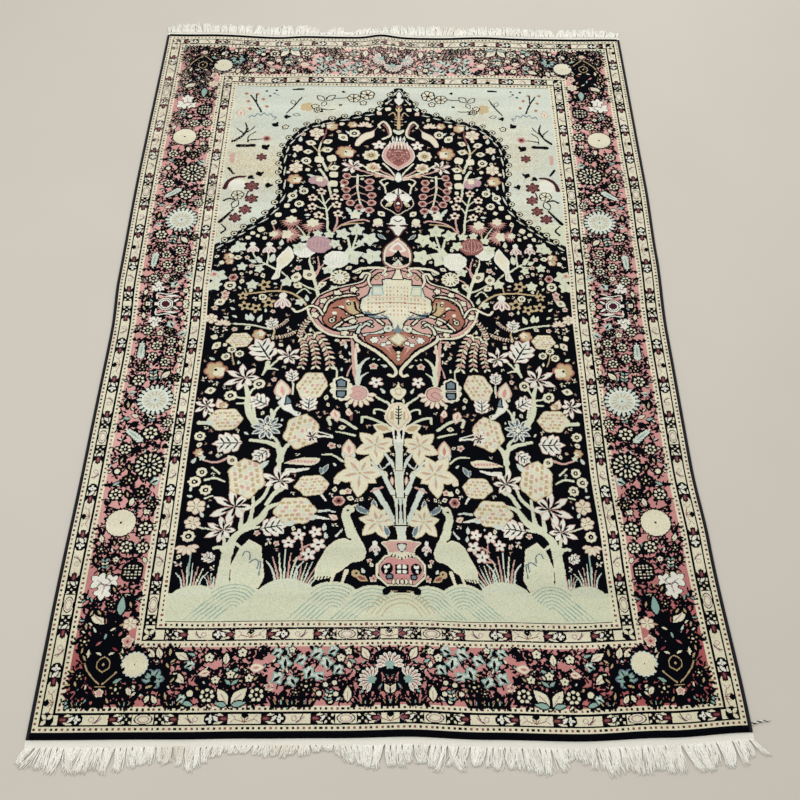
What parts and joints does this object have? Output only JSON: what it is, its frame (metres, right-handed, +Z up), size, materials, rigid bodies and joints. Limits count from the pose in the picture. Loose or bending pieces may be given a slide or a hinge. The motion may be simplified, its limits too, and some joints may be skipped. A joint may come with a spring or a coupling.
{
  "type": "hand-knotted wool rug with fringe",
  "caption": "Rectangular hand-knotted wool rug lying flat, with overcast long edges, flat-woven end strips and cut cotton fringe at both ends.",
  "frame": {"origin": "middle of the underside, on the surface that the rug lies on", "axes": "+Z up through the pile, +Y along the length towards the far end, +X across the width"},
  "size_m": [1.3749, 2.2139, 0.0162],
  "materials": {
    "wool_pile": "clipped wool pile in navy-black, ivory, celadon and dusty rose",
    "overcast_wool": "matt black wool overcasting",
    "warp_cotton": "undyed cotton warp ends"
  },
  "bodies": {
    "root": {"rug_body": "wool_pile", "selvedge_left": "overcast_wool", "selvedge_right": "overcast_wool", "selvedge_tail": "overcast_wool", "fringe_near": "warp_cotton", "fringe_far": "warp_cotton"}
  },
  "joints": []
}
